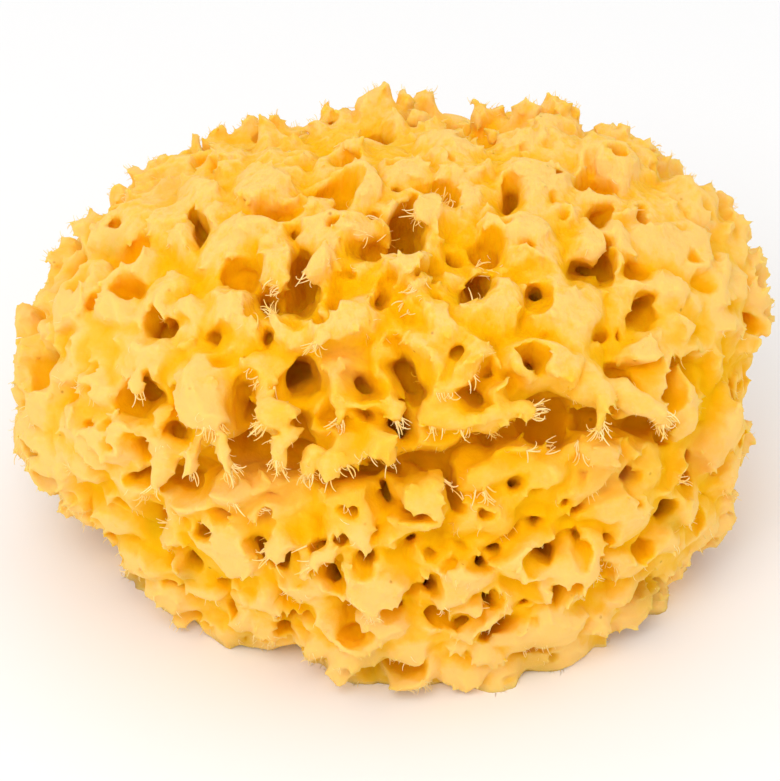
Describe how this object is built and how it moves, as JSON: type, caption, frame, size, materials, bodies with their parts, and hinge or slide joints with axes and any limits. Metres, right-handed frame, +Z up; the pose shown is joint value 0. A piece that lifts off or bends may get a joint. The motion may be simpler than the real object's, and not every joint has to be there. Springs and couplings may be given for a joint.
{
  "type": "sea sponge",
  "caption": "Dome-shaped natural honeycomb sea sponge with lobes, open pores and a long crevice, cut off flat underneath.",
  "frame": {"origin": "centre of the sponge's length and depth, on the flat cut that it rests on", "axes": "+X along the longest extent, to the right as seen from the front; -Y to the front; +Z up, out of the cut and through the crown"},
  "size_m": [0.1507, 0.12, 0.0925],
  "materials": {
    "spongin": "dry, matte, velvety spongin fibre, pale golden at the tips and amber in the pores"
  },
  "bodies": {
    "root": {"sponge": "spongin"}
  },
  "joints": []
}
